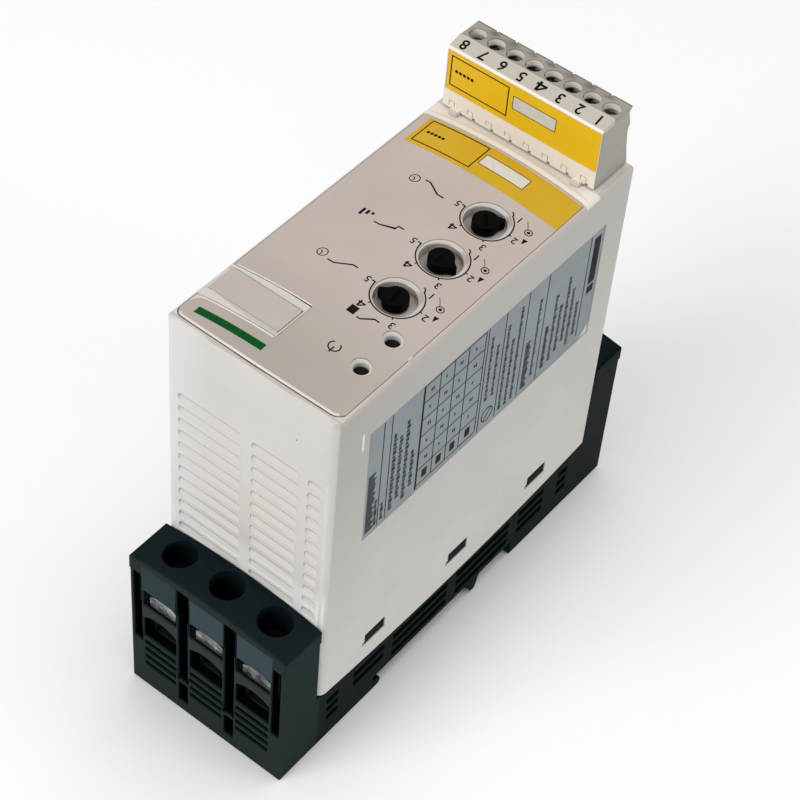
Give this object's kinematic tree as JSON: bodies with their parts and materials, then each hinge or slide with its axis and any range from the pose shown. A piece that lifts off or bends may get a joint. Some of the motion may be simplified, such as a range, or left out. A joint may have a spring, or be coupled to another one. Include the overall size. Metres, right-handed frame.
{
  "type": "soft starter",
  "caption": "Narrow rail-mounted motor soft starter: white cover, black base with screw terminals at both ends, setting dials, indicator holes and a plug-in control terminal strip.",
  "frame": {"origin": "middle of the back plane, under the centre of the body", "axes": "the device lies on its back: +Z out of its front, +X across its width to the side with the rating label, +Y along its length towards the control plug"},
  "size_m": [0.045, 0.124, 0.1282],
  "materials": {
    "black_plastic": "fine moulded texture, low sheen",
    "white_plastic": "fine moulded texture, low sheen",
    "front_film": "printed film, satin",
    "marker_plastic": "satin",
    "knob_plastic": "low sheen",
    "pot_plastic": "smooth",
    "light_pipe": "smooth, unlit",
    "plug_plastic": "satin",
    "header_plastic": "satin",
    "screw_steel": "zinc plated",
    "clamp_steel": "zinc plated sheet",
    "spring_steel": "drawn wire",
    "contact_brass": "plated",
    "bar_metal": "copper, tinned at the ends",
    "board": "solder resist",
    "heatsink_metal": "extruded",
    "module_plastic": "moulded",
    "relay_plastic": "smooth",
    "transformer_core": "varnished",
    "capacitor_sleeve": "shrink sleeve",
    "latch_plastic": "moulded",
    "side_label": "printed polyester",
    "yellow_label": "printed polyester"
  },
  "bodies": {
    "housing": {"base": "black_plastic", "cover": "white_plastic", "front_panel": "front_film", "marker_plate": "marker_plastic", "pot_start": "pot_plastic", "pot_initial": "pot_plastic", "pot_stop": "pot_plastic", "led_power": "light_pipe", "led_run": "light_pipe", "control_header": "header_plastic", "header_pins": "contact_brass", "control_board": "board", "board_screws": "screw_steel", "power_board": "board", "link_board": "board", "heatsink": "heatsink_metal", "thyristor_a": "module_plastic", "thyristor_b": "module_plastic", "bypass_relay_a": "relay_plastic", "bypass_relay_b": "relay_plastic", "transformer": "transformer_core", "main_capacitor": "capacitor_sleeve", "filter_capacitor": "capacitor_sleeve", "line_bar_1": "bar_metal", "load_bar_1": "bar_metal", "through_bar_2": "bar_metal", "line_bar_3": "bar_metal", "load_bar_3": "bar_metal", "contact_plates": "clamp_steel", "rating_label": "side_label", "front_label": "yellow_label", "latch_spring": "spring_steel"},
    "knob_start": {"knob_start": "knob_plastic"},
    "knob_initial": {"knob_initial": "knob_plastic"},
    "knob_stop": {"knob_stop": "knob_plastic"},
    "plug": {"control_plug": "plug_plastic", "plug_screws": "screw_steel", "plug_clamps": "clamp_steel", "plug_label": "yellow_label"},
    "rail_latch": {"rail_latch": "latch_plastic"},
    "line_screw_1": {"line_screw_1": "screw_steel"},
    "line_clamp_1": {"line_clamp_1": "clamp_steel"},
    "line_screw_2": {"line_screw_2": "screw_steel"},
    "line_clamp_2": {"line_clamp_2": "clamp_steel"},
    "line_screw_3": {"line_screw_3": "screw_steel"},
    "line_clamp_3": {"line_clamp_3": "clamp_steel"},
    "load_screw_1": {"load_screw_1": "screw_steel"},
    "load_clamp_1": {"load_clamp_1": "clamp_steel"},
    "load_screw_2": {"load_screw_2": "screw_steel"},
    "load_clamp_2": {"load_clamp_2": "clamp_steel"},
    "load_screw_3": {"load_screw_3": "screw_steel"},
    "load_clamp_3": {"load_clamp_3": "clamp_steel"}
  },
  "joints": [
    {"name": "start_dial_turn", "type": "hinge", "parent": "housing", "child": "knob_start", "pos_m": [0.0095, -0.0155, 0.111], "axis": [0, 0, 1], "range_deg": [-6, 234]},
    {"name": "initial_dial_turn", "type": "hinge", "parent": "housing", "child": "knob_initial", "pos_m": [0.0095, -0.0005, 0.111], "axis": [0, 0, 1], "range_deg": [-174, 66]},
    {"name": "stop_dial_turn", "type": "hinge", "parent": "housing", "child": "knob_stop", "pos_m": [0.0095, 0.0145, 0.111], "axis": [0, 0, 1], "range_deg": [-221, 19]},
    {"name": "plug_pull", "type": "slide", "parent": "housing", "child": "plug", "axis": [0, 0, 1], "range_m": [0, 0.012]},
    {"name": "latch_slide", "type": "slide", "parent": "housing", "child": "rail_latch", "axis": [0, 1, 0], "range_m": [0, 0.004], "stiffness_N_per_m": 800, "springref_m": -0.004, "deforming": ["latch_spring"]},
    {"name": "line_screw_1_turn", "type": "hinge", "parent": "housing", "child": "line_screw_1", "pos_m": [-0.0136, -0.055, 0.037], "axis": [0, 0, 1], "range_deg": [-1800, 0]},
    {"name": "line_clamp_1_rise", "type": "slide", "parent": "housing", "child": "line_clamp_1", "axis": [0, 0, 1], "range_m": [0, 0.0035]},
    {"name": "line_screw_2_turn", "type": "hinge", "parent": "housing", "child": "line_screw_2", "pos_m": [0, -0.055, 0.037], "axis": [0, 0, 1], "range_deg": [-1800, 0]},
    {"name": "line_clamp_2_rise", "type": "slide", "parent": "housing", "child": "line_clamp_2", "axis": [0, 0, 1], "range_m": [0, 0.0035]},
    {"name": "line_screw_3_turn", "type": "hinge", "parent": "housing", "child": "line_screw_3", "pos_m": [0.0136, -0.055, 0.037], "axis": [0, 0, 1], "range_deg": [-1800, 0]},
    {"name": "line_clamp_3_rise", "type": "slide", "parent": "housing", "child": "line_clamp_3", "axis": [0, 0, 1], "range_m": [0, 0.0035]},
    {"name": "load_screw_1_turn", "type": "hinge", "parent": "housing", "child": "load_screw_1", "pos_m": [-0.0136, 0.0559, 0.037], "axis": [0, 0, 1], "range_deg": [-1800, 0]},
    {"name": "load_clamp_1_rise", "type": "slide", "parent": "housing", "child": "load_clamp_1", "axis": [0, 0, 1], "range_m": [0, 0.0035]},
    {"name": "load_screw_2_turn", "type": "hinge", "parent": "housing", "child": "load_screw_2", "pos_m": [0, 0.0559, 0.037], "axis": [0, 0, 1], "range_deg": [-1800, 0]},
    {"name": "load_clamp_2_rise", "type": "slide", "parent": "housing", "child": "load_clamp_2", "axis": [0, 0, 1], "range_m": [0, 0.0035]},
    {"name": "load_screw_3_turn", "type": "hinge", "parent": "housing", "child": "load_screw_3", "pos_m": [0.0136, 0.0559, 0.037], "axis": [0, 0, 1], "range_deg": [-1800, 0]},
    {"name": "load_clamp_3_rise", "type": "slide", "parent": "housing", "child": "load_clamp_3", "axis": [0, 0, 1], "range_m": [0, 0.0035]}
  ],
  "couplings": [
    {"joint": "line_screw_1_turn", "follows": "line_clamp_1_rise", "rad_per_m": -8976},
    {"joint": "line_screw_2_turn", "follows": "line_clamp_2_rise", "rad_per_m": -8976},
    {"joint": "line_screw_3_turn", "follows": "line_clamp_3_rise", "rad_per_m": -8976},
    {"joint": "load_screw_1_turn", "follows": "load_clamp_1_rise", "rad_per_m": -8976},
    {"joint": "load_screw_2_turn", "follows": "load_clamp_2_rise", "rad_per_m": -8976},
    {"joint": "load_screw_3_turn", "follows": "load_clamp_3_rise", "rad_per_m": -8976}
  ]
}
